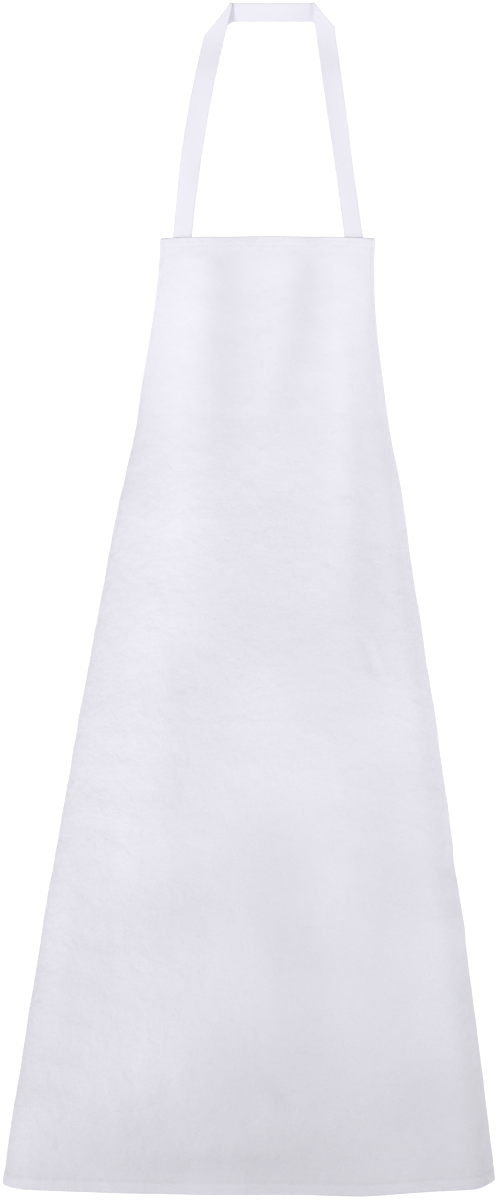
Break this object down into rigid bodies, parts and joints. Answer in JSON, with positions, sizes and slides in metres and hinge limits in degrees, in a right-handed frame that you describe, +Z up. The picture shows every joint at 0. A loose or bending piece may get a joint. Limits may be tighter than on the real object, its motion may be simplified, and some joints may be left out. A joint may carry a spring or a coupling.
{
  "type": "butcher apron",
  "caption": "Full-length white drill bib apron with turned hems, a fixed flat-tape neck loop sewn behind the bib and tape ties at the waist corners.",
  "frame": {"origin": "on the inner face of the neck tape, at the middle of its width, where the tape lies on the nape", "axes": "+Z up, -Y to the front of the apron, +X to the right as seen from the front"},
  "size_m": [0.5646, 0.2152, 1.38],
  "materials": {
    "cloth": "matte",
    "tape": "matte",
    "thread": "satin"
  },
  "bodies": {
    "nape": {"neck_tape_nape": "tape"},
    "neck_legs": {"neck_tape_left": "tape", "neck_tape_right": "tape"},
    "bib": {"bib_panel": "cloth", "top_hem": "cloth", "top_hem_stitching": "thread", "armhole_hem_upper_left": "cloth", "armhole_stitching_upper_left": "thread", "neck_tab_left": "tape", "neck_bartack_left": "thread", "armhole_hem_upper_right": "cloth", "armhole_stitching_upper_right": "thread", "neck_tab_right": "tape", "neck_bartack_right": "thread"},
    "skirt": {"skirt_panel": "cloth", "bottom_hem": "cloth", "bottom_hem_stitching": "thread", "armhole_hem_lower_left": "cloth", "armhole_stitching_lower_left": "thread", "side_hem_left": "cloth", "side_stitching_left": "thread", "tie_tab_left": "tape", "tie_bartack_left": "thread", "armhole_hem_lower_right": "cloth", "armhole_stitching_lower_right": "thread", "side_hem_right": "cloth", "side_stitching_right": "thread", "tie_tab_right": "tape", "tie_bartack_right": "thread"},
    "tie_left": {"waist_tie_left": "tape", "tie_end_hem_left": "tape"},
    "tie_right": {"waist_tie_right": "tape", "tie_end_hem_right": "tape"}
  },
  "joints": [
    {"name": "neck_legs_swing", "type": "hinge", "parent": "nape", "child": "neck_legs", "pos_m": [0, -0.00075, 0.011], "axis": [1, 0, 0], "range_deg": [-30, 0]},
    {"name": "bib_swing", "type": "hinge", "parent": "neck_legs", "child": "bib", "pos_m": [0, -0.107, -0.2801], "axis": [1, 0, 0], "range_deg": [-35, 0]},
    {"name": "skirt_swing", "type": "hinge", "parent": "bib", "child": "skirt", "pos_m": [0, -0.1212, -0.486], "axis": [1, 0, 0], "range_deg": [-60, 0]},
    {"name": "tie_left_swing", "type": "hinge", "parent": "skirt", "child": "tie_left", "pos_m": [-0.0949, 0.0238, -0.574], "axis": [1, 0, 0], "range_deg": [-8, 95]},
    {"name": "tie_right_swing", "type": "hinge", "parent": "skirt", "child": "tie_right", "pos_m": [0.0795, 0.0238, -0.574], "axis": [1, 0, 0], "range_deg": [-8, 95]}
  ]
}
